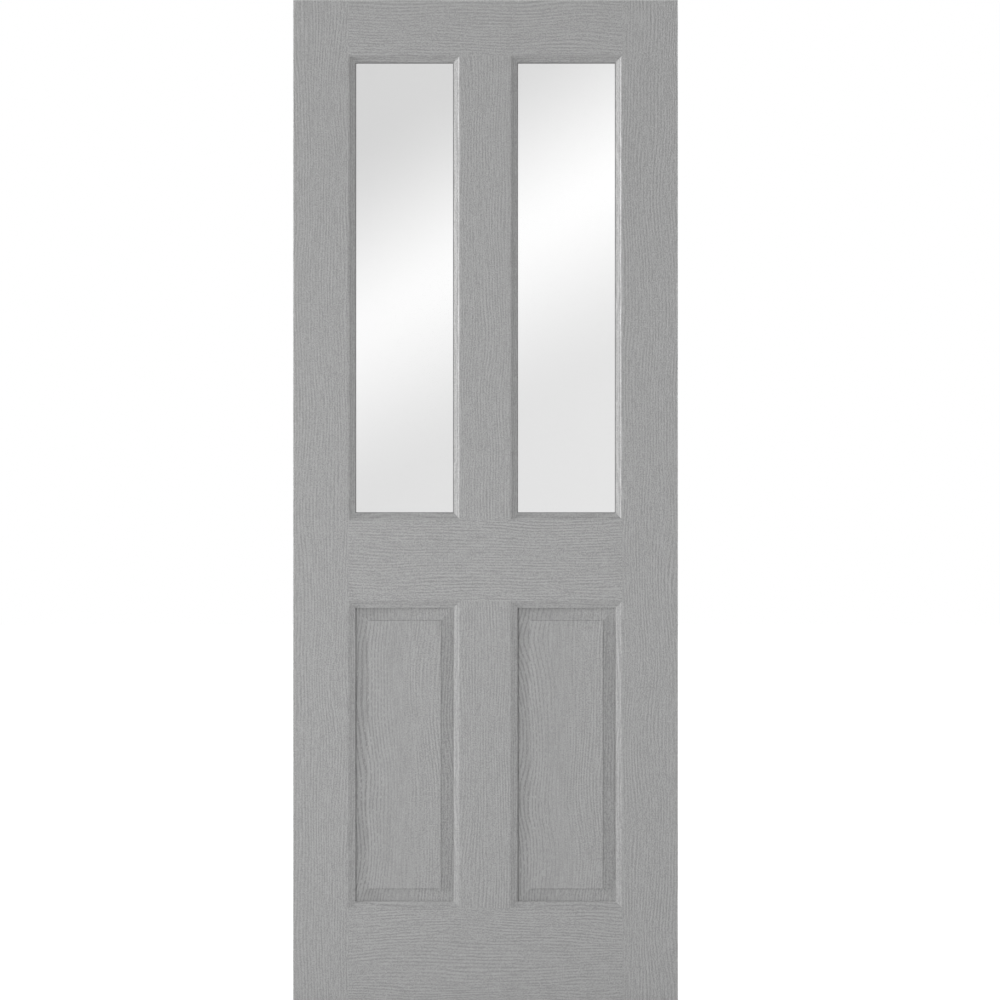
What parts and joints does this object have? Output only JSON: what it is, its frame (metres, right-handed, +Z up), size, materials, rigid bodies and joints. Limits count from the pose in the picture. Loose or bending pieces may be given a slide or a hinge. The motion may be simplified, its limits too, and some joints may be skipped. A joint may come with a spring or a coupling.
{
  "type": "glazed interior door",
  "caption": "Painted timber interior door leaf with tall clear glazed lights above raised and fielded panels, for hanging in a frame.",
  "frame": {"origin": "on the hinge edge, at mid-thickness, at the foot of the leaf", "axes": "+X across the leaf from the hinge edge to the lock edge, +Y through the leaf from the front face to the back face, +Z up"},
  "size_m": [0.762, 0.035, 1.981],
  "materials": {
    "painted_timber": "grey paint over open-grained timber, satin",
    "clear_glass": "clear float glass, polished",
    "glazing_rubber": "dark grey rubber, matt"
  },
  "bodies": {
    "root": {"left_stile": "painted_timber", "right_stile": "painted_timber", "top_rail": "painted_timber", "lock_rail": "painted_timber", "bottom_rail": "painted_timber", "upper_muntin": "painted_timber", "lower_muntin": "painted_timber", "left_panel": "painted_timber", "right_panel": "painted_timber", "left_glass_front_bead_left": "painted_timber", "left_panel_front_moulding_left": "painted_timber", "left_glass_front_bead_right": "painted_timber", "left_panel_front_moulding_right": "painted_timber", "left_glass_front_bead_bottom": "painted_timber", "left_panel_front_moulding_bottom": "painted_timber", "left_glass_front_bead_top": "painted_timber", "left_panel_front_moulding_top": "painted_timber", "left_glass_back_bead_left": "painted_timber", "left_panel_back_moulding_left": "painted_timber", "left_glass_back_bead_right": "painted_timber", "left_panel_back_moulding_right": "painted_timber", "left_glass_back_bead_bottom": "painted_timber", "left_panel_back_moulding_bottom": "painted_timber", "left_glass_back_bead_top": "painted_timber", "left_panel_back_moulding_top": "painted_timber", "right_glass_front_bead_left": "painted_timber", "right_panel_front_moulding_left": "painted_timber", "right_glass_front_bead_right": "painted_timber", "right_panel_front_moulding_right": "painted_timber", "right_glass_front_bead_bottom": "painted_timber", "right_panel_front_moulding_bottom": "painted_timber", "right_glass_front_bead_top": "painted_timber", "right_panel_front_moulding_top": "painted_timber", "right_glass_back_bead_left": "painted_timber", "right_panel_back_moulding_left": "painted_timber", "right_glass_back_bead_right": "painted_timber", "right_panel_back_moulding_right": "painted_timber", "right_glass_back_bead_bottom": "painted_timber", "right_panel_back_moulding_bottom": "painted_timber", "right_glass_back_bead_top": "painted_timber", "right_panel_back_moulding_top": "painted_timber", "left_glass": "clear_glass", "right_glass": "clear_glass", "left_glass_channel": "glazing_rubber", "right_glass_channel": "glazing_rubber"}
  },
  "joints": []
}
